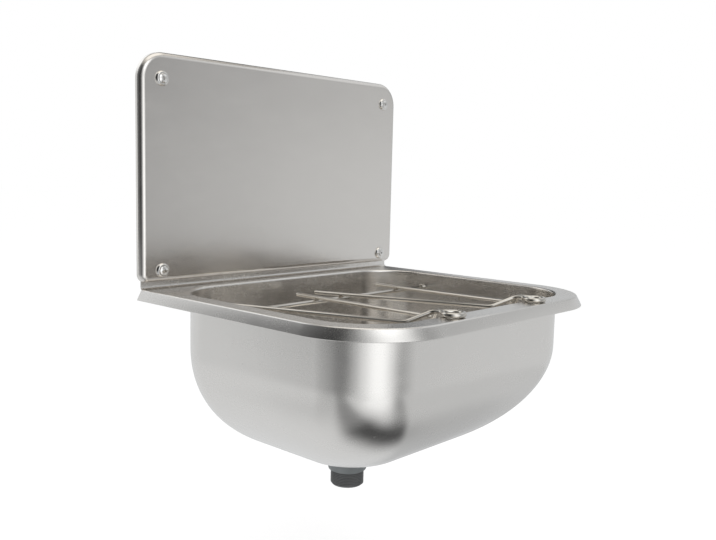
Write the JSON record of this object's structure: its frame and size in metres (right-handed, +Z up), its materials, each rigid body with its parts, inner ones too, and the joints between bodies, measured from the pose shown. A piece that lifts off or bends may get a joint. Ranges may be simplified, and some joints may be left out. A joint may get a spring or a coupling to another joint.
{
  "type": "slop sink",
  "caption": "Wall-hung stainless steel slop sink: deep rounded bowl with a turned-down rim, pressed splashback, hinged wire bucket grate and threaded strainer waste.",
  "frame": {"origin": "on the wall plane, at the middle of the four fixing screws", "axes": "+X to the right as seen by someone standing in front, +Y into the wall, +Z up"},
  "size_m": [0.5, 0.458, 0.5955],
  "materials": {
    "basin_steel": "satin",
    "panel_steel": "brushed",
    "fixing_steel": "polished",
    "wire_steel": "polished",
    "strainer_steel": "polished",
    "waste_plastic": "matte",
    "seal_rubber": "matte"
  },
  "bodies": {
    "sink": {"basin": "basin_steel", "splashback": "panel_steel", "cup_washer_lower_left": "fixing_steel", "cup_washer_lower_right": "fixing_steel", "cup_washer_upper_left": "fixing_steel", "cup_washer_upper_right": "fixing_steel", "fixing_screw_lower_left": "fixing_steel", "fixing_screw_lower_right": "fixing_steel", "fixing_screw_upper_left": "fixing_steel", "fixing_screw_upper_right": "fixing_steel", "pivot_bush_left": "wire_steel", "pivot_bush_right": "wire_steel", "strainer": "strainer_steel", "strainer_screw": "strainer_steel", "upper_seal": "seal_rubber", "lower_seal": "seal_rubber", "waste_body": "waste_plastic"},
    "grate": {"cross_bar": "wire_steel", "grate_wire_left": "wire_steel", "grate_wire_right": "wire_steel"}
  },
  "joints": [
    {"name": "grate_lift", "type": "hinge", "parent": "sink", "child": "grate", "pos_m": [0, -0.1085, -0.174], "axis": [-1, 0, 0], "range_deg": [0, 102.5]}
  ]
}
